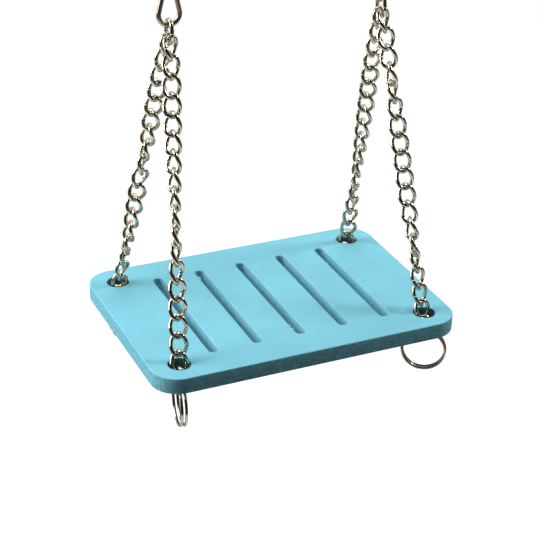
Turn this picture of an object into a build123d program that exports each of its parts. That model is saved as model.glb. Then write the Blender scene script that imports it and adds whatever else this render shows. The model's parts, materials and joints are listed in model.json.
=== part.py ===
"""Hanging perch swing: a slotted board on four curb chains, carried by two swivel snap hooks.

Millimetres. The origin lies midway between the two hook seats, X runs along the board's long side,
the front is -Y and +Z is up.
"""
import math
import os

from build123d import *

# Board
board_length = 100.0
board_width = 70.0
board_thick = 5.2
board_corner_radius = 8.5
board_edge_radius = 0.4
slot_count = 5
slot_pitch = 14.35
slot_length = 48.4
slot_width = 3.0
hole_inset_x = 9.1
hole_inset_y = 8.3
hole_diameter = 6.8

# Curb chain links
link_wire = 1.2
link_inner_length = 5.5
link_outer_width = 5.8
link_twist_angle = 80.0
link_gap = 0.15
chain_length = 103.0
end_link_count = 2
first_link_space = 0.28
first_link_rise = 1.0

# Turn of each chain's links about its own line, in degrees, at shares of the way down the chain
chain_turns = {
    "front_left": ((0.0, 36.0), (0.12, -25.0), (0.53, -115.0), (1.0, -216.0)),
    "back_left": ((0.0, 36.0), (0.17, -25.0), (0.5, -205.0), (0.72, -295.0), (1.0, -380.0)),
    "front_right": ((0.0, 36.0), (0.4, -195.0), (1.0, -330.0)),
    "back_right": ((0.0, 36.0), (0.22, -25.0), (0.67, -115.0), (1.0, -204.0)),
}

# Split rings under the board; each one's lead is its turn away from square to its link's bow, in degrees
ring_outer_diameter = 14.4
ring_wire = 0.9
ring_turn_gap = 0.42
ring_step_angle = 60.0
ring_drop = 0.9
ring_link_gap = 1.1
ring_lead = -14.0

# Snap hooks
hook_spacing = 67.0
seat_radius = 3.1
hook_wall = 2.2
hook_thick = 3.6
hook_section_radius = 0.9
hook_opening = 10.5
nose_drop = 0.8
nose_lap = 1.6
lap_gap = 0.15
base_height = 5.0
base_edge_radius = 0.5
shoulder_radius = 1.5
collar_radius = 2.7
collar_height = 2.2

# Gate with its rivet and flat spring
pivot_drop = 1.1
ear_radius = 2.2
ear_step_share = 0.5
heel_drop = 1.4
gate_blade = 1.7
gate_side_gap = 0.12
gate_lead = 0.4
cam_radius = 1.75
cam_flat = 1.35
rivet_radius = 0.7
rivet_clearance = 0.06
rivet_head_radius = 1.15
rivet_head_height = 0.4
rivet_head_edge = 0.2
spring_thick = 0.25
spring_length = 3.0
spring_bow = 0.35
spring_gap = 0.06

# Swivel eye
eye_wire = 1.45
eye_bottom_radius = 3.15
eye_top_radius = 1.7
eye_center_distance = 6.5
stem_radius = 1.1
stem_clearance = 0.08
stem_head_radius = 1.7
stem_head_height = 0.9
stem_head_edge = 0.35
swivel_gap = 0.2

overrun = 1.0

# Worked-out sizes
link_half_length = (link_inner_length + link_wire) / 2
link_half_width = (link_outer_width - link_wire) / 2
link_seat = link_wire + link_gap
link_pitch = 2 * link_half_length - link_seat
links_per_chain = round((chain_length - 2 * link_half_length) / link_pitch) + 1
ring_radius = (ring_outer_diameter - ring_wire) / 2
ring_half_step = (ring_wire + ring_turn_gap) / 2
ring_to_link = ring_wire / 2 + link_wire / 2 + ring_link_gap
hook_bar_radius = seat_radius + hook_wall / 2
pivot_x = hook_bar_radius
pivot_z = -hook_opening - pivot_drop
collar_top_z = -hook_opening - base_height
collar_bottom_z = collar_top_z - collar_height
eye_top_z = collar_bottom_z - swivel_gap - eye_wire / 2
eye_bottom_z = eye_top_z - eye_top_radius - eye_center_distance - eye_bottom_radius
top_link_z = eye_bottom_z + (eye_wire + link_wire) / 2 + link_gap - link_half_length
first_link_shift = (link_wire + first_link_space) / 2
chain_top_z = top_link_z - link_half_length + link_seat + first_link_rise
hole_x = board_length / 2 - hole_inset_x
hole_y = board_width / 2 - hole_inset_y
anchor_x = hook_spacing / 2


def chain_drop():
    """Height from a chain's top to the middle of its hole, for a chain of whole links pulled straight."""
    run = math.hypot(hole_x - anchor_x, hole_y - first_link_shift)
    reach = 2 * link_half_length + (links_per_chain - 1) * link_pitch - ring_to_link
    below = board_thick / 2 + ring_drop
    drop = reach
    for _ in range(links_per_chain):
        drop = math.sqrt((reach * drop / (drop + below)) ** 2 - run ** 2)
    return drop


board_top_z = chain_top_z - chain_drop() + board_thick / 2
board_bottom_z = board_top_z - board_thick


def biarc(start, start_way, end, end_way):
    """Two arcs that leave start along one way and reach end along the other."""
    chord = end - start
    spread = 2 * (1 - start_way.dot(end_way))
    reach = chord.dot(start_way + end_way)
    handle = (math.sqrt(reach ** 2 + spread * chord.dot(chord)) - reach) / spread
    middle = (start + end + (start_way - end_way) * handle) / 2
    return [
        Edge.make_tangent_arc(start, start_way, middle),
        Edge.make_tangent_arc(end, -end_way, middle),
    ]


def bent_wire(points, ways, diameter, closed):
    """A round wire through points, each passed along its own way, as one closed skin."""
    count = len(points) if closed else len(points) - 1
    edges = []
    for i in range(count):
        j = (i + 1) % len(points)
        edges += biarc(points[i], ways[i], points[j], ways[j])
    skin, ends = [], []
    for edge in edges:
        section = Plane(origin=edge @ 0, z_dir=edge % 0) * Circle(diameter / 2)
        tube = sweep(section, path=edge)
        skin += tube.faces().filter_by(GeomType.PLANE, reverse=True)
        ends += tube.faces().filter_by(GeomType.PLANE)
    if not closed:
        skin += [ShapeList(ends).sort_by_distance(point)[0] for point in (points[0], points[-1])]
    return Solid(Shell(skin))


def oval_link(twist):
    """A chain link whose two bows are turned against each other by twist; 0 gives a flat link."""
    bow = math.radians(twist) / 2
    lean = bow * link_half_width / link_half_length
    side = Vector(0, lean, -1).normalized()
    points = [
        Vector(0, 0, link_half_length),
        Vector(link_half_width, 0, 0),
        Vector(0, 0, -link_half_length),
        Vector(-link_half_width, 0, 0),
    ]
    ways = [
        Vector(math.cos(bow), -math.sin(bow), 0),
        side,
        Vector(-math.cos(bow), -math.sin(bow), 0),
        Vector(0, side.Y, -side.Z),
    ]
    return bent_wire(points, ways, link_wire, closed=True)


def link_turn(name, share):
    """The turn of the link that lies at that share of the way down its chain."""
    turns = chain_turns[name]
    for (low, start), (high, end) in zip(turns, turns[1:]):
        if share <= high:
            return start + (end - start) * (share - low) / (high - low)


def ring_facing(name):
    """The way a split ring faces: nearly square to the lower bow of the link that carries it."""
    return link_turn(name, 1) + link_twist_angle / 2 + 90 + ring_lead


def chain_locations(name):
    """The places of a chain's links, from the top down, and the top of the ring under the last one."""
    across = -1 if "left" in name else 1
    along = -1 if "front" in name else 1
    top = Vector(across * anchor_x, along * first_link_shift, chain_top_z)
    hole = Vector(across * hole_x, along * hole_y, board_top_z - board_thick / 2)
    down = (hole - top).normalized()
    width_way = (Vector(1, 0, 0) - down * down.X).normalized()
    places = []
    for i in range(links_per_chain):
        centre = top + down * (link_half_length + i * link_pitch)
        turn = link_turn(name, i / (links_per_chain - 1))
        places.append(Plane(origin=centre, x_dir=width_way, z_dir=-down).location * Rot(0, 0, turn))
    ring_top = top + down * (2 * link_half_length + (links_per_chain - 1) * link_pitch - ring_to_link)
    return places, ring_top


def split_ring():
    """Two flat turns of wire, joined by one step across; its top lies at the origin, its axis along Y."""
    half_turn = (360 - ring_step_angle) / 2
    points, ways = [], []
    for side in (-ring_half_step, ring_half_step):
        for i in range(3):
            angle = math.radians(ring_step_angle / 2 + i * half_turn - 90)
            points.append(Vector(ring_radius * math.cos(angle), side, ring_radius * (math.sin(angle) - 1)))
            ways.append(Vector(-math.sin(angle), 0, math.cos(angle)))
    gap = min((points[i] - points[i + 3]).length for i in range(3)) - ring_wire
    print(f"split ring: least gap between its turns {gap:.2f} mm")
    return bent_wire(points, ways, ring_wire, closed=False)


def board():
    """The board: rounded corners, a row of long slots and a hole near each corner."""
    outline = RectangleRounded(board_length, board_width, board_corner_radius)
    slots = [
        Pos((i - (slot_count - 1) / 2) * slot_pitch, 0) * Rot(0, 0, 90) * SlotOverall(slot_length, slot_width)
        for i in range(slot_count)
    ]
    holes = [
        Pos(sx * hole_x, sy * hole_y) * Circle(hole_diameter / 2)
        for sx in (-1, 1) for sy in (-1, 1)
    ]
    slab = extrude(outline, board_thick)
    slab = fillet(slab.faces().sort_by(Axis.Z)[0].edges() + slab.faces().sort_by(Axis.Z)[-1].edges(),
                  board_edge_radius)
    slab -= extrude(Sketch() + slots + holes, board_thick)
    return Pos(0, 0, board_bottom_z) * slab


def side_view(sketch, thick):
    """A side view, drawn with X across and Y up, as a plate of that thickness standing across Y."""
    return Rot(90, 0, 0) * extrude(sketch, thick / 2, both=True)


def block(low, high, thick):
    """A box between two corners of the side view, centred across Y."""
    size = (high[0] - low[0], thick, high[1] - low[1])
    return Pos(low[0], 0, low[1]) * Box(*size, align=(Align.MIN, Align.CENTER, Align.MIN))


def upright(radius, height):
    """A cylinder that stands on the level it is placed at."""
    return Cylinder(radius, height, align=(Align.CENTER, Align.CENTER, Align.MIN))


def hook_body():
    """The hook: a bent bar over the seat, and a base with the gate's fork and the swivel's collar."""
    bar_path = Wire([
        Line((-hook_bar_radius, 0, pivot_z), (-hook_bar_radius, 0, 0)).edge(),
        ThreePointArc((-hook_bar_radius, 0, 0), (0, 0, hook_bar_radius), (hook_bar_radius, 0, 0)).edge(),
        Line((hook_bar_radius, 0, 0), (hook_bar_radius, 0, -nose_drop)).edge(),
    ])
    section = Plane(origin=(-hook_bar_radius, 0, pivot_z), x_dir=(1, 0, 0), z_dir=(0, 0, 1))
    bar = sweep(section * RectangleRounded(hook_wall, hook_thick, hook_section_radius), path=bar_path)
    bar -= block((0, -nose_drop - overrun), (hook_bar_radius, nose_lap - nose_drop), hook_thick + overrun)
    corners = [
        Pos(-hook_bar_radius, pivot_z) * Circle(shoulder_radius),
        Pos(pivot_x, pivot_z) * Circle(ear_radius),
        Pos(pivot_x, pivot_z - heel_drop) * Circle(ear_radius),
        Pos(0, collar_top_z + collar_radius) * Circle(collar_radius),
    ]
    base = side_view(make_hull([corner.edge() for corner in corners]), hook_thick)
    base = fillet(base.faces().filter_by(Axis.Y).edges(), base_edge_radius)
    ear_step = pivot_x - ear_radius * ear_step_share
    floor_cut = block((-hook_bar_radius, -hook_opening), (ear_step, 0), hook_thick + overrun)
    base -= floor_cut - side_view(Pos(pivot_x, pivot_z) * Circle(ear_radius), hook_thick + 2 * overrun)
    collar = Pos(0, 0, collar_bottom_z) * upright(collar_radius, collar_height + collar_radius)
    body = bar + base + collar
    fork_left = pivot_x - cam_radius - gate_side_gap
    fork_floor = pivot_z - cam_flat - spring_gap - spring_bow - spring_thick
    fork_top = pivot_z + ear_radius + overrun
    fork_right = pivot_x + ear_radius + overrun
    body -= block((fork_left, fork_floor), (fork_right, fork_top), gate_blade + 2 * gate_side_gap)
    body -= Pos(pivot_x, 0, pivot_z) * Rot(90, 0, 0) * Cylinder(rivet_radius, hook_thick + overrun)
    bore_length = base_height + collar_height + 2 * overrun
    body -= Pos(0, 0, collar_bottom_z - overrun) * upright(stem_radius + stem_clearance, bore_length)
    return body


def gate():
    """The gate: a cam in the fork, a blade up the open side and a tongue that laps inside the nose."""
    inner_x = hook_bar_radius - hook_wall / 2
    outer_x = hook_bar_radius + hook_wall / 2
    blade_foot = pivot_z + ear_radius + gate_lead
    blade_top = -nose_drop - lap_gap
    tongue_top = nose_lap - nose_drop - lap_gap
    cam = side_view(Pos(pivot_x, pivot_z) * Circle(cam_radius), gate_blade)
    cam -= block((pivot_x - cam_radius, pivot_z - cam_radius - overrun),
                 (pivot_x + cam_radius, pivot_z - cam_flat), gate_blade + overrun)
    neck = block((inner_x, pivot_z), (outer_x, blade_foot), gate_blade)
    blade = block((inner_x, blade_foot), (outer_x, blade_top), hook_thick)
    blade = fillet(blade.edges().filter_by(Axis.Z), base_edge_radius)
    tongue = block((inner_x, blade_top), (hook_bar_radius - lap_gap, tongue_top), gate_blade)
    lever = cam + neck + blade + tongue
    lever -= Pos(pivot_x, 0, pivot_z) * Rot(90, 0, 0) * Cylinder(
        rivet_radius + rivet_clearance, hook_thick + overrun)
    return lever


def rivet():
    """The rivet that the gate turns on, with a head on each side of the fork."""
    pin = Cylinder(rivet_radius, hook_thick)
    head = upright(rivet_head_radius, rivet_head_height)
    head = fillet(head.edges().sort_by(Axis.Z)[-1], rivet_head_edge)
    pin += Pos(0, 0, hook_thick / 2) * head
    pin += Pos(0, 0, -hook_thick / 2) * Rot(180, 0, 0) * head
    return Pos(pivot_x, 0, pivot_z) * Rot(90, 0, 0) * pin


def gate_spring():
    """A bowed flat spring on the fork's floor that presses up on the flat of the gate's cam."""
    crown_z = pivot_z - cam_flat - spring_gap - spring_thick / 2
    foot_z = crown_z - spring_bow
    left, right = pivot_x - spring_length / 2, pivot_x + spring_length / 2
    bow = ThreePointArc((left, foot_z), (pivot_x, crown_z), (right, foot_z))
    return side_view(trace(bow, spring_thick), gate_blade)


def swivel_eye():
    """The eye: a pear-shaped wire loop under a stem whose head sits on the floor of the hook."""
    tilt = math.asin((eye_bottom_radius - eye_top_radius) / eye_center_distance)
    top = Vector(0, 0, eye_top_z - eye_top_radius)
    low = top - Vector(0, 0, eye_center_distance)

    def on_circle(centre, radius, angle):
        return centre + Vector(radius * math.cos(angle), 0, radius * math.sin(angle))

    right_top, left_top = (on_circle(top, eye_top_radius, a) for a in (tilt, math.pi - tilt))
    right_low, left_low = (on_circle(low, eye_bottom_radius, a) for a in (tilt, math.pi - tilt))
    outline = Wire([
        Line(right_low, right_top).edge(),
        ThreePointArc(right_top, on_circle(top, eye_top_radius, math.pi / 2), left_top).edge(),
        Line(left_top, left_low).edge(),
        ThreePointArc(left_low, on_circle(low, eye_bottom_radius, -math.pi / 2), right_low).edge(),
    ])
    loop = sweep(Plane(origin=right_low, z_dir=right_top - right_low) * Circle(eye_wire / 2), path=outline)
    floor = -hook_opening + swivel_gap / 2
    boss = Pos(0, 0, eye_top_z) * Sphere(stem_radius)
    stem = Pos(0, 0, eye_top_z) * upright(stem_radius, floor - eye_top_z)
    head = upright(stem_head_radius, stem_head_height)
    head = fillet(head.edges().sort_by(Axis.Z)[-1], stem_head_edge)
    return loop + boss + stem + Pos(0, 0, floor) * head


def on_both_sides(name, piece):
    """The piece at the right hook, and its mirror image at the left one."""
    return {
        f"right_{name}": Pos(anchor_x, 0, 0) * piece,
        f"left_{name}": Pos(-anchor_x, 0, 0) * mirror(piece, Plane.YZ),
    }


def build():
    """Every piece of the swing, by name."""
    pieces = {"board": board()}
    pieces |= on_both_sides("hook", hook_body())
    pieces |= on_both_sides("gate", gate())
    pieces |= on_both_sides("gate_rivet", rivet())
    pieces |= on_both_sides("gate_spring", gate_spring())
    pieces |= on_both_sides("eye", swivel_eye())
    flat_link = oval_link(0)
    curb_link = oval_link(link_twist_angle)
    for side, x in (("left", -anchor_x), ("right", anchor_x)):
        pieces[f"{side}_top_link"] = flat_link.moved(Pos(x, 0, top_link_z) * Rot(0, 0, 90))
    ring = split_ring()
    for name in chain_turns:
        places, ring_top = chain_locations(name)
        links = [curb_link.moved(place) for place in places]
        pieces[f"{name}_chain"] = Compound(links[:-end_link_count])
        pieces[f"{name}_end_links"] = Compound(links[-end_link_count:])
        pieces[f"{name}_ring"] = ring.moved(Pos(ring_top) * Rot(0, 0, ring_facing(name)))
    return pieces


if __name__ == "__main__":
    os.makedirs("parts", exist_ok=True)
    for node, piece in build().items():
        export_step(piece, f"parts/{node}.step")
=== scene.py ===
"""Looks of a hanging perch swing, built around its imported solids. Metres, +Z up, the front is -Y."""
import json
import math

import bmesh
import bpy
from bpy.props import FloatProperty, FloatVectorProperty, IntProperty, PointerProperty
from bpy.types import Operator, Panel, PropertyGroup
from mathutils import Matrix, Vector


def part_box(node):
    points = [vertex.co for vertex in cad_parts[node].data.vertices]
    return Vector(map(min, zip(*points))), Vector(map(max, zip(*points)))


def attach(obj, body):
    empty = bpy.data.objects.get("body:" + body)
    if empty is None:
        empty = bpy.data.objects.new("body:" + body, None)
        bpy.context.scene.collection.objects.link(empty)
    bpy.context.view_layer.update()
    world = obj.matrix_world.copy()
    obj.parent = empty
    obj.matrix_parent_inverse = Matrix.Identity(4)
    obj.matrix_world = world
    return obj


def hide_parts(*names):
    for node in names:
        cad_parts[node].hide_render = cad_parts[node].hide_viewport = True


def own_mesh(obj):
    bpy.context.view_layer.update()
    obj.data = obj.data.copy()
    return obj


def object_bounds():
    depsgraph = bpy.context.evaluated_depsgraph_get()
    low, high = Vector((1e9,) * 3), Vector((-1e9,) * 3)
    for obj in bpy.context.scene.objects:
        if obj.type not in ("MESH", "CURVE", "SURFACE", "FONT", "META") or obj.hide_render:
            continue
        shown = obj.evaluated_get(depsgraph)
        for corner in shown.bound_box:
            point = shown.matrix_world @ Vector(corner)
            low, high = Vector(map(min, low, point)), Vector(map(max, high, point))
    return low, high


bl_info = {
    "name": "Perch swing looks",
    "version": (1, 0, 0),
    "blender": (4, 5, 0),
    "location": "View3D > Sidebar > Perch swing",
    "description": "Builds the board, chains, split rings and hooks of a hanging perch swing",
    "category": "Object",
}

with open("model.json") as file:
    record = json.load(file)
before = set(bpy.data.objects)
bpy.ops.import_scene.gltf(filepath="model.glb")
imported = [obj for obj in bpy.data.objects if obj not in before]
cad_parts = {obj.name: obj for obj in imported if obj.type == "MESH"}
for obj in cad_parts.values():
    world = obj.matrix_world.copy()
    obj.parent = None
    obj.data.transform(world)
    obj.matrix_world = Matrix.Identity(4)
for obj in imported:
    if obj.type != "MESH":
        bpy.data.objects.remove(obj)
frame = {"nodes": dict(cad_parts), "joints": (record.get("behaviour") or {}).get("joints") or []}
CAD_BOX = [list(corner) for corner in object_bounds()]
JOINTS = {joint["name"]: joint for joint in frame["joints"]}
BOARD_LOW, BOARD_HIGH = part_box("board")
BOARD_SIZE = BOARD_HIGH - BOARD_LOW

MM = 0.001
CORNERS = ("front_left", "back_left", "front_right", "back_right")
SIDES = ("left", "right")

MATERIAL_NAMES = {
    "board": "sky_blue_foam_sheet",
    "burr": "pale_torn_foam",
    "chain_metal": "nickel_link_wire",
    "ring_metal": "nickel_ring_wire",
    "hook_metal": "warm_nickel_hook",
}

# Turn of each chain's links about the chain's own line, in degrees, at shares of the way from the first link
# to the last
CHAIN_TURNS = {
    "front_left": ((0.0, 36.0), (0.12, -25.0), (0.57, -115.0), (0.81, -200.0), (1.0, -216.0)),
    "back_left": ((0.0, 36.0), (0.12, -20.0), (0.25, -30.0), (0.42, -115.0), (0.55, -205.0),
                  (0.8, -295.0), (1.0, -372.0)),
    "front_right": ((0.0, 36.0), (0.22, -135.0), (0.33, -195.0), (0.56, -215.0), (0.84, -345.0),
                    (1.0, -350.0)),
    "back_right": ((0.0, 36.0), (0.22, -25.0), (0.66, -115.0), (0.9, -200.0), (1.0, -204.0)),
}

# Where each split ring changes turns, in degrees round the ring: out of sight behind the board's edge
RING_STEP_PLACES = {"front_left": 148.0, "back_left": 148.0, "front_right": 32.0, "back_right": 32.0}

# Torn flakes on the slots' upper rims: slot, place along the slot and size in millimetres
BURRS = (
    (0, 14.0, 0.4), (0, 6.5, 0.3), (0, -9.0, 0.35), (1, 20.2, 1.3), (1, 18.8, 0.9), (1, 3.0, 0.25),
    (2, -10.8, 0.5), (2, -18.2, 0.9), (2, -20.4, 1.1), (3, 9.5, 0.25), (3, -15.0, 0.3), (4, 13.5, 0.5),
)
# A flake's four corners from its place on the rim, for a flake of size 1, and its four faces
BURR_CORNERS = ((-0.15, -0.55, -0.15), (-0.15, 0.5, -0.2), (-0.1, 0.0, -0.8), (0.75, 0.2, -0.12))
BURR_FACES = ((0, 1, 2), (0, 1, 3), (1, 2, 3), (2, 0, 3))
TORN_SHADES = ((0.36, 0.80, 0.92, 1.0), (0.48, 0.92, 0.98, 1.0))
BURR_SLOT = 1

# Fineness of the meshes
CORNER_STEPS = 14
SLOT_END_STEPS = 8
HOLE_SIDES = 40
EDGE_RINGS = 2
WIRE_SIDES = 16
LINK_ARC_STEPS = 9
RING_ARC_STEPS = 14
LEAF_STEPS = 12
WALL_STEPS = 16

# Points of the board that lie nearer than this are joined
WELD_DISTANCE = 0.002 * MM
# Share of a slot's half width that its end rounds take, short of 1 so that no two points meet
SLOT_END_SHARE = 0.999
# A face whose normal is at least this upright is shaded flat
FLAT_FACE = 0.999
# An arc that turns by less than this is a straight run
STRAIGHT_ANGLE = 1e-5
# How far each end of a link's wire stops short of the butt joint
LINK_END_GAP = 0.02 * MM
# Share of a wire's radius that is eased off its ends
WIRE_END_EASE = 0.18
LEAF_SHARP_ANGLE = math.radians(40)

# Depth of the bump on each finish
GRAIN_DEPTH = 0.05 * MM
CELL_DEPTH = 0.03 * MM
DRAW_MARK_DEPTH = 0.006 * MM
PLATING_TINT = (0.45, 0.40, 0.32, 1.0)

# Each light's name, place from the middle of the board's upper face, size and power setting
LIGHTS = (
    ("top_soft_box", (0.05, 0.22, 0.60), 0.50, "top_power"),
    ("left_soft_box", (-0.52, 0.16, 0.28), 0.46, "left_power"),
    ("right_light", (0.45, -0.12, 0.42), 0.16, "right_power"),
)
WHITE = (1, 1, 1, 1)
FLOOR_REACH = 3.0
FLOOR_PAINT = (0.85, 0.85, 0.85, 1)
FLOOR_GLOW = 0.9
# The dark wall: its first bearing and its sweep in degrees from the camera's, its radius in metres, and the
# share of that radius and the height of its upper two rows
WALL_START = -95
WALL_SWEEP = 200
WALL_RADIUS = 0.9
WALL_UPPER_ROWS = ((1.0, 0.7), (0.4, 1.2))
WALL_CLOTH = (0.075, 0.062, 0.048, 1.0)
SENSOR_WIDTH = 36.0
CLIP_START = 0.01


class BoardSettings(PropertyGroup):
    """Sizes and colours of the board."""
    corner_radius: FloatProperty(
        name="Corner radius", description="Radius of the board's corners",
        default=8.5 * MM, unit="LENGTH")
    edge_round: FloatProperty(
        name="Edge round", description="Rounding of the edges all round the board",
        default=0.35 * MM, unit="LENGTH")
    slot_count: IntProperty(
        name="Slots", description="How many slots cross the board", default=5, min=0)
    slot_pitch: FloatProperty(
        name="Slot pitch", description="Distance between slots", default=14.35 * MM, unit="LENGTH")
    slot_length: FloatProperty(
        name="Slot length", description="Length of a slot", default=48.4 * MM, unit="LENGTH")
    slot_width: FloatProperty(
        name="Slot width", description="Width of a slot", default=3.0 * MM, unit="LENGTH")
    hole_inset_x: FloatProperty(
        name="Hole inset, length", description="Hole to the board's end",
        default=9.1 * MM, unit="LENGTH")
    hole_inset_y: FloatProperty(
        name="Hole inset, width", description="Hole to the board's long side",
        default=8.3 * MM, unit="LENGTH")
    hole_diameter: FloatProperty(
        name="Hole diameter", description="Diameter of the chain holes",
        default=6.8 * MM, unit="LENGTH")
    face_colour: FloatVectorProperty(
        name="Face colour", description="Colour of the flat faces",
        default=(0.222, 0.645, 0.792), subtype="COLOR", min=0, max=1)
    cut_colour: FloatVectorProperty(
        name="Cut colour", description="Colour of the sawn edges",
        default=(0.215, 0.620, 0.760), subtype="COLOR", min=0, max=1)
    slot_colour: FloatVectorProperty(
        name="Slot colour", description="Colour of the slots' walls",
        default=(0.23, 0.55, 0.64), subtype="COLOR", min=0, max=1)


class ChainSettings(PropertyGroup):
    """Sizes and finishes of the chain links and split rings."""
    link_wire: FloatProperty(
        name="Link wire", description="Wire diameter of a link", default=1.2 * MM, unit="LENGTH")
    link_inner_length: FloatProperty(
        name="Link inner length", description="Clear length inside a link",
        default=5.5 * MM, unit="LENGTH")
    link_outer_width: FloatProperty(
        name="Link outer width", description="Width over a link", default=5.8 * MM, unit="LENGTH")
    link_gap: FloatProperty(
        name="Link gap", description="Play between two links", default=0.15 * MM, unit="LENGTH")
    link_twist: FloatProperty(
        name="Link twist", description="Turn of a link's lower bow against its upper bow",
        default=math.radians(80), subtype="ANGLE")
    link_count: IntProperty(
        name="Links", description="Links in one chain", default=19, min=3)
    end_link_count: IntProperty(
        name="End links", description="Lowest links, which move with the board", default=2, min=1)
    first_link_rise: FloatProperty(
        name="First link rise", description="Extra height of a chain's first link",
        default=1.0 * MM, unit="LENGTH")
    first_link_shift: FloatProperty(
        name="First link shift", description="A chain's first link from the middle",
        default=0.74 * MM, unit="LENGTH")
    ring_diameter: FloatProperty(
        name="Ring diameter", description="Outer diameter of a split ring",
        default=14.4 * MM, unit="LENGTH")
    ring_wire: FloatProperty(
        name="Ring wire", description="Wire diameter of a split ring", default=0.9 * MM, unit="LENGTH")
    ring_turn_gap: FloatProperty(
        name="Ring turn gap", description="Gap between a ring's two turns",
        default=0.42 * MM, unit="LENGTH")
    ring_step: FloatProperty(
        name="Ring step", description="Arc over which a ring changes turns",
        default=math.radians(60), subtype="ANGLE")
    link_colour: FloatVectorProperty(
        name="Link colour", description="Colour of the chain links",
        default=(0.56, 0.53, 0.43), subtype="COLOR", min=0, max=1)
    # Darker than the links: partly a darker steel, partly painted shade for the rings' place under the
    # board.
    ring_colour_and_shade: FloatVectorProperty(
        name="Ring colour", description="Colour of the split rings",
        default=(0.40, 0.37, 0.31), subtype="COLOR", min=0, max=1)
    wire_roughness: FloatProperty(
        name="Wire roughness", description="Roughness of the plated wire",
        default=0.12, min=0, max=1, subtype="FACTOR")


class HookSettings(PropertyGroup):
    """Finish of the hooks, and the leaf spring under each gate."""
    colour: FloatVectorProperty(
        name="Hook colour", description="Colour of the plated hooks",
        default=(0.50, 0.42, 0.36), subtype="COLOR", min=0, max=1)
    roughness: FloatProperty(
        name="Hook roughness", description="Roughness of the plated hooks",
        default=0.27, min=0, max=1, subtype="FACTOR")
    leaf_thick: FloatProperty(
        name="Leaf thickness", description="Thickness of the leaf spring",
        default=0.25 * MM, unit="LENGTH")
    leaf_keep: FloatProperty(
        name="Leaf height kept", description="Share of its height that a pressed leaf keeps",
        default=0.45, min=0.01, max=1, subtype="FACTOR")


class StageSettings(PropertyGroup):
    """Camera and light."""
    azimuth: FloatProperty(
        name="Azimuth", description="Camera's turn round the swing",
        default=math.radians(-25.39), subtype="ANGLE")
    elevation: FloatProperty(
        name="Elevation", description="Camera's height angle",
        default=math.radians(29.30), subtype="ANGLE")
    roll: FloatProperty(
        name="Roll", description="Camera's roll", default=math.radians(1.85), subtype="ANGLE")
    pitch: FloatProperty(
        name="Pitch", description="Aim above the middle of the board",
        default=math.radians(0.992), subtype="ANGLE")
    yaw: FloatProperty(
        name="Yaw", description="Aim to the right of the middle of the board",
        default=math.radians(0.03), subtype="ANGLE")
    distance: FloatProperty(
        name="Distance", description="Camera to the board's upper face", default=0.4861, unit="LENGTH")
    lens: FloatProperty(
        name="Lens", description="Focal length on a 36 mm wide frame", default=102.77)
    floor_drop: FloatProperty(
        name="Floor drop", description="Floor below the lowest point", default=0.5, unit="LENGTH")
    ambient: FloatProperty(
        name="Ambient", description="Strength of the even light", default=0.10, min=0)
    top_power: FloatProperty(
        name="Top light", description="Power of the soft box overhead", default=1.0, min=0)
    left_power: FloatProperty(
        name="Left light", description="Power of the soft box on the left", default=4.2, min=0)
    right_power: FloatProperty(
        name="Right light", description="Power of the light on the right", default=1.8, min=0)


class Value:
    """A shader socket in a Python expression: each operation adds a Math node."""

    def __init__(self, finish, socket):
        self.finish = finish
        self.socket = socket

    def math(self, operation, *values):
        return self.finish.node("ShaderNodeMath", {"operation": operation}, dict(enumerate(values)))

    def __add__(self, other):
        return self.math("ADD", self, other)

    def __sub__(self, other):
        return self.math("SUBTRACT", self, other)

    def __rsub__(self, other):
        return self.math("SUBTRACT", other, self)

    def __mul__(self, other):
        return self.math("MULTIPLY", self, other)

    __radd__ = __add__
    __rmul__ = __mul__

    def __abs__(self):
        return self.math("ABSOLUTE", self)

    def greater(self, other):
        return self.math("GREATER_THAN", self, other)

    def largest(self, other):
        return self.math("MAXIMUM", self, other)

    def smooth(self, low, high):
        """0 below low, 1 above high, and a smooth step between."""
        return self.finish.node("ShaderNodeMapRange", {"interpolation_type": "SMOOTHSTEP"},
                                {"Value": self, "From Min": low, "From Max": high})


class Finish:
    """A node tree under construction."""

    def __init__(self, owner):
        owner.use_nodes = True
        self.owner = owner
        self.tree = owner.node_tree
        self.tree.nodes.clear()

    def node(self, kind, settings=None, inputs=None, output=0):
        """Adds a node, sets it up, feeds its sockets and returns one of its outputs."""
        made = self.tree.nodes.new(kind)
        for name, setting in (settings or {}).items():
            setattr(made, name, setting)
        for name, value in (inputs or {}).items():
            if isinstance(value, Value):
                self.tree.links.new(value.socket, made.inputs[name])
            else:
                made.inputs[name].default_value = value
        return Value(self, made.outputs[output]) if len(made.outputs) else None

    def place(self):
        """The point on the object, in metres."""
        return self.node("ShaderNodeTexCoord", output="Object")

    def noise(self, scale, detail, roughness=0.5, vector=None):
        return self.node("ShaderNodeTexNoise", inputs={
            "Vector": vector or self.place(), "Scale": scale, "Detail": detail, "Roughness": roughness})

    def stretched(self, scale):
        """The point on the object with each axis scaled by itself."""
        return self.node("ShaderNodeVectorMath", {"operation": "MULTIPLY"}, {0: self.place(), 1: scale})

    def part_of(self, vector, axis):
        return self.node("ShaderNodeSeparateXYZ", inputs={0: vector}, output=axis)

    def mix(self, factor, first, second):
        """A colour between two colours, through a Mix node's colour sockets."""
        return self.node("ShaderNodeMix", {"data_type": "RGBA"}, {0: factor, 6: first, 7: second}, output=2)

    def bump(self, height, distance, strength=1.0):
        return self.node("ShaderNodeBump",
                         inputs={"Height": height, "Distance": distance, "Strength": strength})

    def surface(self, **inputs):
        """Ends the tree in one principled surface."""
        named = {key.replace("_", " "): value for key, value in inputs.items()}
        shader = self.node("ShaderNodeBsdfPrincipled", inputs=named)
        self.node("ShaderNodeOutputMaterial", inputs={"Surface": shader})
        return self.owner


def shade(colour, share=1.0):
    """A darker or lighter shade of a colour, as an opaque colour."""
    return tuple(channel * share for channel in colour) + (1.0,)


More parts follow.
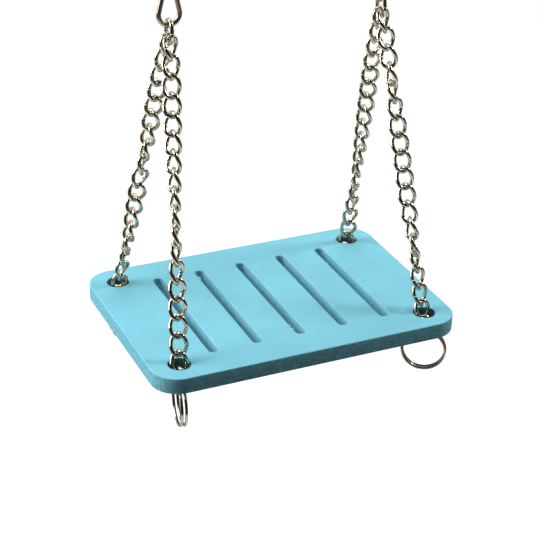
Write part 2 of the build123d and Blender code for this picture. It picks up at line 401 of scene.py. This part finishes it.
def foam_face(finish, look, pores):
    """Colour of the board's flat faces: soft clouds, closed pores and a few dark specks."""
    cloud = finish.noise(scale=45, detail=3).smooth(0.3, 0.7)
    cells = ({"voronoi_dimensions": "2D"}, {"Vector": finish.place(), "Scale": 110.0})
    chosen = finish.part_of(finish.node("ShaderNodeTexVoronoi", *cells, output="Color"), 0).greater(0.93)
    from_middle = finish.node("ShaderNodeTexVoronoi", *cells, output="Distance")
    specks = chosen * (1 - from_middle.smooth(0.02, 0.045))
    face = finish.mix(cloud, shade(look.face_colour, 0.94), shade(look.face_colour, 1.04))
    face = finish.mix(pores * 0.25, face, shade(look.face_colour, 0.82))
    return finish.mix(specks * 0.6, face, shade(look.face_colour, 0.25))


def foam_side(finish, look):
    """Colour of the board's cut sides: speckled edges, slot walls with painted light deep down and painted
    shade at their rims, painted shade towards the top of the cut sides, and chain holes darkened with
    painted shade.
    """
    speckle = finish.noise(scale=900, detail=4, roughness=0.7).smooth(0.35, 0.7)
    across, along, level = (finish.part_of(finish.place(), axis) for axis in range(3))
    height = level - BOARD_LOW.z
    # Painted shade: the cut sides are painted darker towards their top, so their lower part stands lighter
    # as if lit by light bounced up from below.
    painted_upper_shade = height.smooth(0, 0.7 * BOARD_SIZE.z)
    # Painted light and shade on the slot walls, by height: lighter deep down, darker towards their upper
    # rims.
    rim = height.smooth(0.4 * BOARD_SIZE.z, BOARD_SIZE.z)
    # Painted shade: the walls of the chain holes are painted dark, for the shadow that falls in the holes.
    hole_x = abs(across) - (BOARD_SIZE.x / 2 - look.hole_inset_x)
    hole_y = abs(along) - (BOARD_SIZE.y / 2 - look.hole_inset_y)
    hole_reach = 0.6 * look.hole_diameter
    painted_hole_shade = 1 - (hole_x * hole_x + hole_y * hole_y).greater(hole_reach ** 2)
    slotted = 1 - abs(across).greater(look.slot_count * look.slot_pitch / 2)
    slotted = slotted * (1 - abs(along).greater(0.52 * look.slot_length))
    side = finish.mix(speckle, shade(look.cut_colour, 0.68), shade(look.cut_colour, 1.15))
    # Painted shade over the upper part of the cut sides.
    side = finish.mix(painted_upper_shade * 0.4, side, shade(look.cut_colour, 0.72))
    # Slot walls in their own colour, with painted light deep down and painted shade along their upper rims.
    walls = finish.mix(rim, shade(look.slot_colour, 1.25), shade(look.slot_colour, 0.75))
    side = finish.mix(slotted * (0.6 + speckle * 0.4), side, walls)
    # The chain holes' walls darkened with painted shade.
    return finish.mix(painted_hole_shade, side, shade(look.cut_colour, 0.22))


def board_finish(name, look):
    """Matte foamed sheet: fine closed grain on the faces, sawn and speckled on the cut sides."""
    finish = Finish(bpy.data.materials.new(name))
    upright = finish.part_of(finish.node("ShaderNodeNewGeometry", output="Normal"), 2)
    cut = 1 - abs(upright).smooth(0.25, 0.75)
    grain = finish.noise(scale=1500, detail=3, roughness=0.6)
    pores = finish.noise(scale=2600, detail=2, roughness=0.7).smooth(0.58, 0.75)
    saw = finish.noise(scale=1.0, detail=3, roughness=0.6, vector=finish.stretched((420, 420, 1500)))
    height = grain * 0.5 + cut * saw * 2.2 - pores * 0.3
    return finish.surface(
        Base_Color=finish.mix(cut, foam_face(finish, look, pores), foam_side(finish, look)),
        Roughness=0.56 + grain * 0.1 + cut * 0.22,
        Normal=finish.bump(height, GRAIN_DEPTH),
    )


def burr_finish(name):
    """Torn foam: pale cells broken open, rough all over."""
    finish = Finish(bpy.data.materials.new(name))
    cells = finish.noise(scale=2200, detail=3, roughness=0.6)
    return finish.surface(
        Base_Color=finish.mix(cells.smooth(0.35, 0.65), *TORN_SHADES),
        Roughness=0.74 + cells * 0.12,
        Normal=finish.bump(cells, CELL_DEPTH),
    )


def metal_finish(name, colour, roughness):
    """Bright plating over drawn wire: faint draw marks, small dull patches."""
    finish = Finish(bpy.data.materials.new(name))
    dull = finish.noise(scale=420, detail=3, roughness=0.6).smooth(0.42, 0.72)
    marks = finish.noise(scale=3800, detail=2, roughness=0.6)
    return finish.surface(
        Base_Color=finish.mix(dull * 0.5, shade(colour), shade(colour, 0.72)),
        Metallic=1.0,
        Specular_Tint=PLATING_TINT,
        Roughness=roughness + dull * 0.10 + marks * 0.04,
        Normal=finish.bump(marks, DRAW_MARK_DEPTH, strength=0.6),
    )


def swing_material(key):
    """One of the swing's finishes, made the first time it is asked for."""
    name = MATERIAL_NAMES[key]
    made = bpy.data.materials.get(name)
    if made:
        return made
    scene = bpy.context.scene
    board, chain, hook = scene.swing_board, scene.swing_chain, scene.swing_hook
    if key == "board":
        return board_finish(name, board)
    if key == "burr":
        return burr_finish(name)
    if key == "hook_metal":
        return metal_finish(name, hook.colour, hook.roughness)
    # The rings' colour holds painted shade for their place under the board, besides the darker steel.
    colour = chain.ring_colour_and_shade if key == "ring_metal" else chain.link_colour
    return metal_finish(name, colour, chain.wire_roughness)


def finished_mesh(bm, name):
    bmesh.ops.recalc_face_normals(bm, faces=bm.faces)
    mesh = bpy.data.meshes.new(name)
    bm.to_mesh(mesh)
    bm.free()
    return mesh


def add_piece(name, bm, body, slot, node):
    """Makes a finished shape into a piece that rides on a body and stands for a CAD node."""
    mesh = finished_mesh(bm, name)
    mesh.materials.append(swing_material(slot))
    for polygon in mesh.polygons:
        polygon.use_smooth = True
    piece = bpy.data.objects.new(name, mesh)
    bpy.context.scene.collection.objects.link(piece)
    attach(piece, body)
    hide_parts(node)
    return piece


def skin_rows(bm, rows):
    """Faces over closed rows of points, with a cap at both ends."""
    for first, second in zip(rows, rows[1:]):
        for k in range(len(first)):
            n = (k + 1) % len(first)
            bm.faces.new((first[k], first[n], second[n], second[k]))
    bm.faces.new(rows[0][::-1])
    bm.faces.new(rows[-1])


def arc_points(start, way, end, steps):
    """Points along the arc that leaves start along way and reaches end, without the end itself."""
    chord = end - start
    half = way.angle(chord)
    if half < STRAIGHT_ANGLE:
        return [start + chord * (i / steps) for i in range(steps)]
    across = (chord - way * chord.dot(way)).normalized()
    radius = chord.length / (2 * math.sin(half))
    points = []
    for i in range(steps):
        turn = 2 * half * i / steps
        points.append(start + way * (radius * math.sin(turn)) + across * (radius * (1 - math.cos(turn))))
    return points


def biarc_points(start, start_way, end, end_way, steps):
    """Points along two arcs that join start and end along their ways, without the end itself."""
    chord = end - start
    spread = 2 * (1 - start_way.dot(end_way))
    reach = chord.dot(start_way + end_way)
    handle = (math.sqrt(reach ** 2 + spread * chord.dot(chord)) - reach) / spread
    middle = (start + end + (start_way - end_way) * handle) / 2
    far = arc_points(end, -end_way, middle, steps)
    return arc_points(start, start_way, middle, steps) + [middle] + far[:0:-1]


def wire_points(points, ways, closed, steps):
    """A bent wire's centreline through points, each passed along its own way."""
    line = []
    count = len(points) if closed else len(points) - 1
    for i in range(count):
        j = (i + 1) % len(points)
        line += biarc_points(points[i], ways[i], points[j], ways[j], steps)
    return line + [points[0] if closed else points[-1]]


def wire_mesh(bm, line, diameter, place, end_gap=0.0):
    """A round wire along a line, with slightly eased ends drawn back by end_gap."""
    line = [point.copy() for point in line]
    line[0] += (line[1] - line[0]).normalized() * end_gap
    line[-1] += (line[-2] - line[-1]).normalized() * end_gap
    radius = diameter / 2
    ease = radius * WIRE_END_EASE
    ways = []
    for i in range(len(line)):
        before, after = line[max(i - 1, 0)], line[min(i + 1, len(line) - 1)]
        ways.append((after - before).normalized())
    across = ways[0].orthogonal().normalized()
    stations = []
    for i, (point, way) in enumerate(zip(line, ways)):
        if i:
            across = ways[i - 1].rotation_difference(way) @ across
        stations.append((point, way, across, radius))
    head, tail = stations[0], stations[-1]
    stations[0:1] = [(*head[:3], radius - ease), (head[0] + head[1] * ease, *head[1:])]
    stations[-1:] = [(tail[0] - tail[1] * ease, *tail[1:]), (*tail[:3], radius - ease)]
    rows = []
    for point, way, across, size in stations:
        side = way.cross(across)
        row = []
        for k in range(WIRE_SIDES):
            angle = 2 * math.pi * k / WIRE_SIDES
            offset = across * (size * math.cos(angle)) + side * (size * math.sin(angle))
            row.append(bm.verts.new(place @ (point + offset)))
        rows.append(row)
    skin_rows(bm, rows)


def link_half_length(chain):
    """From a link's middle to the centreline of its bows."""
    return (chain.link_inner_length + chain.link_wire) / 2


def link_line(chain, twist):
    """The centreline of a link, which starts and ends at the butt joint on its left side."""
    half_length = link_half_length(chain)
    half_width = (chain.link_outer_width - chain.link_wire) / 2
    bow = twist / 2
    lean = bow * half_width / half_length
    side = Vector((0, lean, -1)).normalized()
    points = [
        Vector((-half_width, 0, 0)), Vector((0, 0, half_length)),
        Vector((half_width, 0, 0)), Vector((0, 0, -half_length)),
    ]
    ways = [
        Vector((0, side.y, -side.z)), Vector((math.cos(bow), -math.sin(bow), 0)),
        side, Vector((-math.cos(bow), -math.sin(bow), 0)),
    ]
    return wire_points(points, ways, True, LINK_ARC_STEPS)


def side_of(corner):
    """The side, left or right, that a corner belongs to."""
    return corner.split("_")[1]


def hole_centre(board, corner):
    """The middle of the hole at a corner of the board."""
    across = -1 if "left" in corner else 1
    along = -1 if "front" in corner else 1
    return (across * (BOARD_SIZE.x / 2 - board.hole_inset_x),
            along * (BOARD_SIZE.y / 2 - board.hole_inset_y),
            (BOARD_LOW.z + BOARD_HIGH.z) / 2)


def link_turn(corner, share):
    """The turn of the link that lies at that share of the way down its chain."""
    turns = CHAIN_TURNS[corner]
    for (low, start), (high, end) in zip(turns, turns[1:]):
        if share <= high:
            return start + (end - start) * (share - low) / (high - low)


def chain_places(chain, board, corner):
    """The places of a chain's links, from the top down."""
    side = side_of(corner)
    seat = chain.link_wire + chain.link_gap
    half_length = link_half_length(chain)
    pitch = 2 * half_length - seat
    bow_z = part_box(f"{side}_top_link")[0].z + chain.link_wire / 2
    shift = -chain.first_link_shift if "front" in corner else chain.first_link_shift
    top = Vector((JOINTS[f"{side}_swing"]["pos_m"][0], shift, bow_z + seat + chain.first_link_rise))
    down = (Vector(hole_centre(board, corner)) - top).normalized()
    width_way = (Vector((1, 0, 0)) - down * down.x).normalized()
    depth_way = (-down).cross(width_way)
    stand = Matrix((width_way, depth_way, -down)).transposed().to_4x4()
    places = []
    for i in range(chain.link_count):
        turn = link_turn(corner, i / (chain.link_count - 1))
        centre = top + down * (half_length + i * pitch)
        places.append(Matrix.Translation(centre) @ stand @ Matrix.Rotation(math.radians(turn), 4, "Z"))
    return places


def ring_line(chain, step_place):
    """The centreline of a split ring, two flat turns joined by one step, with its top at the origin."""
    radius = (chain.ring_diameter - chain.ring_wire) / 2
    half_step = (chain.ring_wire + chain.ring_turn_gap) / 2
    points, ways = [], []
    for side in (-half_step, half_step):
        for i in range(3):
            angle = step_place + chain.ring_step / 2 + i * (2 * math.pi - chain.ring_step) / 2
            points.append(Vector((radius * math.cos(angle), side, radius * (math.sin(angle) - 1))))
            ways.append(Vector((-math.sin(angle), 0, math.cos(angle))))
    return wire_points(points, ways, False, RING_ARC_STEPS)


def rounded_outline(width, height, radius, steps):
    """Points of a rectangle with round corners, counter-clockwise about the middle."""
    points = []
    for quarter, (sx, sy) in enumerate(((1, 1), (-1, 1), (-1, -1), (1, -1))):
        for i in range(steps + 1):
            angle = math.pi / 2 * (quarter + i / steps)
            points.append((sx * (width / 2 - radius) + radius * math.cos(angle),
                           sy * (height / 2 - radius) + radius * math.sin(angle)))
    return points


def slot_middle(look, slot):
    """Where a slot's middle lies along the board."""
    return (slot - (look.slot_count - 1) / 2) * look.slot_pitch


class SWING_OT_board(Operator):
    """Build the board with its slots, holes and sawn edges"""
    bl_idname = "swing.board"
    bl_label = "Board"

    def execute(self, context):
        look = context.scene.swing_board
        bm = bmesh.new()
        bm.from_mesh(self.sheet_mesh(context, look))
        bmesh.ops.remove_doubles(bm, verts=bm.verts, dist=WELD_DISTANCE)
        for slot, y, size in BURRS:
            rim = slot_middle(look, slot) - look.slot_width / 2
            self.add_burr(bm, Vector((rim, y * MM, BOARD_HIGH.z)), size * MM)
        mesh = add_piece("slotted_board", bm, "board", "board", "board").data
        mesh.materials.append(swing_material("burr"))
        for polygon in mesh.polygons:
            polygon.use_smooth = abs(polygon.normal.z) < FLAT_FACE
        return {"FINISHED"}

    def sheet_mesh(self, context, look):
        """The board without its flakes, raised from its outline."""
        curve = bpy.data.curves.new("board_outline", "CURVE")
        curve.dimensions = "2D"
        curve.fill_mode = "BOTH"
        curve.extrude = BOARD_SIZE.z / 2 - look.edge_round
        curve.bevel_depth = look.edge_round
        curve.bevel_resolution = EDGE_RINGS
        curve.offset = -look.edge_round
        for loop in self.outline_loops(look):
            spline = curve.splines.new("POLY")
            spline.points.add(len(loop) - 1)
            for point, (x, y) in zip(spline.points, loop):
                point.co = (x, y, 0, 1)
            spline.use_cyclic_u = True
        outline = bpy.data.objects.new("board_outline", curve)
        context.scene.collection.objects.link(outline)
        outline.location.z = (BOARD_LOW.z + BOARD_HIGH.z) / 2
        context.view_layer.update()
        mesh = bpy.data.meshes.new_from_object(outline.evaluated_get(context.evaluated_depsgraph_get()))
        mesh.transform(outline.matrix_world)
        bpy.data.objects.remove(outline)
        return mesh

    @staticmethod
    def outline_loops(look):
        """The board's outer edge, its slots and its holes, each as a loop of points."""
        loops = [rounded_outline(BOARD_SIZE.x, BOARD_SIZE.y, look.corner_radius, CORNER_STEPS)]
        end_radius = look.slot_width / 2 * SLOT_END_SHARE
        slot = rounded_outline(look.slot_width, look.slot_length, end_radius, SLOT_END_STEPS)
        for i in range(look.slot_count):
            middle = slot_middle(look, i)
            loops.append([(middle + x, y) for x, y in slot])
        radius = look.hole_diameter / 2
        angles = [2 * math.pi * k / HOLE_SIDES for k in range(HOLE_SIDES)]
        for corner in CORNERS:
            x, y, _ = hole_centre(look, corner)
            loops.append([(x + radius * math.cos(a), y + radius * math.sin(a)) for a in angles])
        return loops

    @staticmethod
    def add_burr(bm, rim, size):
        """A torn flake that stands from a slot's upper rim into the slot."""
        corners = [bm.verts.new(rim + size * Vector(offset)) for offset in BURR_CORNERS]
        for a, b, c in BURR_FACES:
            bm.faces.new((corners[a], corners[b], corners[c])).material_index = BURR_SLOT


class SWING_OT_chains(Operator):
    """Build the links of the four chains and the links that carry them"""
    bl_idname = "swing.chains"
    bl_label = "Chains"

    def execute(self, context):
        chain, board = context.scene.swing_chain, context.scene.swing_board
        curb = link_line(chain, chain.link_twist)
        flat = link_line(chain, 0.0)

        def make(name, line, places, body, node):
            bm = bmesh.new()
            for place in places:
                wire_mesh(bm, line, chain.link_wire, place, LINK_END_GAP)
            add_piece(name, bm, body, "chain_metal", node)

        for corner in CORNERS:
            places = chain_places(chain, board, corner)
            free = len(places) - chain.end_link_count
            make(f"{corner}_links", curb, places[:free], f"{side_of(corner)}_chains", f"{corner}_chain")
            make(f"{corner}_hole_links", curb, places[free:], "board", f"{corner}_end_links")
        for side in SIDES:
            low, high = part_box(f"{side}_top_link")
            place = Matrix.Translation((low + high) / 2) @ Matrix.Rotation(math.radians(90), 4, "Z")
            make(f"{side}_top_link_wire", flat, [place], f"{side}_hanger", f"{side}_top_link")
        return {"FINISHED"}


class SWING_OT_rings(Operator):
    """Build the split rings under the board"""
    bl_idname = "swing.rings"
    bl_label = "Split rings"

    def execute(self, context):
        chain = context.scene.swing_chain
        for corner in CORNERS:
            line = ring_line(chain, math.radians(RING_STEP_PLACES[corner]))
            joint = JOINTS[f"{corner}_ring_tilt"]
            facing = math.atan2(joint["axis"][1], joint["axis"][0])
            place = Matrix.Translation(joint["pos_m"]) @ Matrix.Rotation(facing, 4, "Z")
            bm = bmesh.new()
            wire_mesh(bm, line, chain.ring_wire, place)
            add_piece(f"{corner}_split_ring", bm, f"{corner}_ring", "ring_metal", f"{corner}_ring")
        return {"FINISHED"}


class SWING_OT_hooks(Operator):
    """Plate the hooks, gates, rivets and swivel eyes, and build the leaf springs under the gates"""
    bl_idname = "swing.hooks"
    bl_label = "Hooks"

    def execute(self, context):
        for side in SIDES:
            for node in ("hook", "gate", "gate_rivet", "eye"):
                for slot in frame["nodes"][f"{side}_{node}"].material_slots:
                    slot.material = swing_material("hook_metal")
            self.add_leaf(context.scene.swing_hook, side)
        return {"FINISHED"}

    @staticmethod
    def add_leaf(hook, side):
        """The bowed leaf spring under a gate's cam."""
        node = f"{side}_gate_spring"
        low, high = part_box(node)
        bow = high.z - low.z - hook.leaf_thick
        bm = bmesh.new()
        rows = []
        for i in range(LEAF_STEPS + 1):
            share = i / LEAF_STEPS
            x = low.x + (high.x - low.x) * share
            top = high.z - bow * (2 * share - 1) ** 2
            foot = top - hook.leaf_thick
            section = ((low.y, top), (high.y, top), (high.y, foot), (low.y, foot))
            rows.append([bm.verts.new((x, y, z)) for y, z in section])
        skin_rows(bm, rows)
        leaf = add_piece(f"{side}_gate_leaf", bm, "hooks", "hook_metal", node)
        leaf.data.set_sharp_from_angle(angle=LEAF_SHARP_ANGLE)
        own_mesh(leaf)


class SWING_OT_stage(Operator):
    """Set up the floor, the light and the camera"""
    bl_idname = "swing.stage"
    bl_label = "Stage"

    def execute(self, context):
        scene, stage = context.scene, context.scene.swing_stage
        scene.view_settings.view_transform = "Standard"
        middle = Vector((0, 0, BOARD_HIGH.z))
        self.make_world(scene, stage)
        self.make_floor(scene, stage)
        for name, offset, size, power in LIGHTS:
            self.make_light(scene, name, middle + Vector(offset), middle, size, getattr(stage, power))
        self.make_camera(scene, stage, middle)
        self.make_dark_wall(scene, stage, middle)
        return {"FINISHED"}

    @staticmethod
    def seen(finish):
        """1 for rays that show the background: straight from the camera, mirrored or through glass."""
        rays = [finish.node("ShaderNodeLightPath", output=name)
                for name in ("Is Camera Ray", "Is Glossy Ray", "Is Transmission Ray")]
        return rays[0].largest(rays[1]).largest(rays[2])

    def make_world(self, scene, stage):
        world = bpy.data.worlds.new("studio_white")
        scene.world = world
        finish = Finish(world)
        white = finish.node("ShaderNodeBackground", inputs={"Color": WHITE, "Strength": 1.0})
        even = finish.node("ShaderNodeBackground", inputs={"Color": WHITE, "Strength": stage.ambient})
        both = finish.node("ShaderNodeMixShader", inputs={0: self.seen(finish), 1: even, 2: white})
        finish.node("ShaderNodeOutputWorld", inputs={"Surface": both})

    def make_floor(self, scene, stage):
        """A pale floor that takes the shadow and shows white behind the swing."""
        bm = bmesh.new()
        bmesh.ops.create_grid(bm, x_segments=1, y_segments=1, size=FLOOR_REACH)
        mesh = finished_mesh(bm, "studio_floor")
        finish = Finish(bpy.data.materials.new("pale_floor"))
        paint = finish.node("ShaderNodeBsdfDiffuse", inputs={"Color": FLOOR_PAINT})
        glow = finish.node("ShaderNodeEmission", inputs={"Color": WHITE, "Strength": FLOOR_GLOW})
        none = finish.node("ShaderNodeEmission", inputs={"Strength": 0.0})
        extra = finish.node("ShaderNodeMixShader", inputs={0: self.seen(finish), 1: none, 2: glow})
        both = finish.node("ShaderNodeAddShader", inputs={0: paint, 1: extra})
        finish.node("ShaderNodeOutputMaterial", inputs={"Surface": both})
        mesh.materials.append(finish.owner)
        floor = bpy.data.objects.new("studio_floor", mesh)
        scene.collection.objects.link(floor)
        floor.location = (0, 0, CAD_BOX[0][2] - stage.floor_drop)

    @staticmethod
    def make_dark_wall(scene, stage, middle):
        """A curved dark wall behind the camera: the studio's unlit side, mirrored by the bright wire."""
        bm = bmesh.new()
        floor_z = CAD_BOX[0][2] - stage.floor_drop - middle.z
        profile = ((1.0, floor_z), *WALL_UPPER_ROWS)
        rows = []
        for i in range(WALL_STEPS + 1):
            angle = stage.azimuth + math.radians(WALL_START + WALL_SWEEP * i / WALL_STEPS)
            out = Vector((math.sin(angle), -math.cos(angle), 0)) * WALL_RADIUS
            rows.append([bm.verts.new(middle + out * share + Vector((0, 0, z))) for share, z in profile])
        for first, second in zip(rows, rows[1:]):
            for k in range(len(profile) - 1):
                bm.faces.new((first[k], second[k], second[k + 1], first[k + 1]))
        mesh = finished_mesh(bm, "dark_wall")
        finish = Finish(bpy.data.materials.new("dark_cloth"))
        mesh.materials.append(finish.surface(Base_Color=WALL_CLOTH, Roughness=1.0))
        wall = bpy.data.objects.new("dark_wall", mesh)
        wall.visible_camera = False
        scene.collection.objects.link(wall)

    @staticmethod
    def make_light(scene, name, place, target, size, power):
        lamp = bpy.data.lights.new(name, "AREA")
        lamp.shape = "DISK"
        lamp.size = size
        lamp.energy = power
        light = bpy.data.objects.new(name, lamp)
        scene.collection.objects.link(light)
        light.location = place
        light.rotation_euler = (target - place).to_track_quat("-Z", "Y").to_euler()

    @staticmethod
    def make_camera(scene, stage, middle):
        azimuth, elevation = stage.azimuth, stage.elevation
        back = Vector((math.sin(azimuth) * math.cos(elevation), -math.cos(azimuth) * math.cos(elevation),
                       math.sin(elevation)))
        right = Vector((math.cos(azimuth), math.sin(azimuth), 0))
        up = back.cross(right)
        turned_right = right * math.cos(stage.roll) + up * math.sin(stage.roll)
        turned_up = up * math.cos(stage.roll) - right * math.sin(stage.roll)
        basis = Matrix((turned_right, turned_up, back)).transposed()
        aim = Matrix.Rotation(stage.pitch, 3, "X") @ Matrix.Rotation(-stage.yaw, 3, "Y")
        lens = bpy.data.cameras.new("photo_camera")
        lens.sensor_width = SENSOR_WIDTH
        lens.lens = stage.lens
        lens.clip_start = CLIP_START
        camera = bpy.data.objects.new("photo_camera", lens)
        scene.collection.objects.link(camera)
        camera.matrix_world = Matrix.Translation(middle + back * stage.distance) @ (basis @ aim).to_4x4()
        scene.camera = camera


class SWING_PT_panel(Panel):
    """Lists the steps that build the swing"""
    bl_idname = "SWING_PT_panel"
    bl_label = "Perch swing"
    bl_space_type = "VIEW_3D"
    bl_region_type = "UI"
    bl_category = "Perch swing"

    def draw(self, context):
        for operator in OPERATORS:
            self.layout.operator(operator.bl_idname)
        for settings in SETTINGS:
            group = getattr(context.scene, settings)
            box = self.layout.box()
            for name in group.__annotations__:
                box.prop(group, name)


OPERATORS = (SWING_OT_board, SWING_OT_chains, SWING_OT_rings, SWING_OT_hooks, SWING_OT_stage)
SETTINGS = {
    "swing_board": BoardSettings,
    "swing_chain": ChainSettings,
    "swing_hook": HookSettings,
    "swing_stage": StageSettings,
}


def register():
    for cls in (*SETTINGS.values(), *OPERATORS, SWING_PT_panel):
        bpy.utils.register_class(cls)
    for name, settings in SETTINGS.items():
        setattr(bpy.types.Scene, name, PointerProperty(type=settings))


def unregister():
    for name in SETTINGS:
        delattr(bpy.types.Scene, name)
    for cls in (SWING_PT_panel, *reversed(OPERATORS), *reversed(list(SETTINGS.values()))):
        bpy.utils.unregister_class(cls)


def main():
    register()
    bpy.ops.swing.board()
    bpy.ops.swing.chains()
    bpy.ops.swing.rings()
    bpy.ops.swing.hooks()
    bpy.ops.swing.stage()


if __name__ == "__main__":
    main()
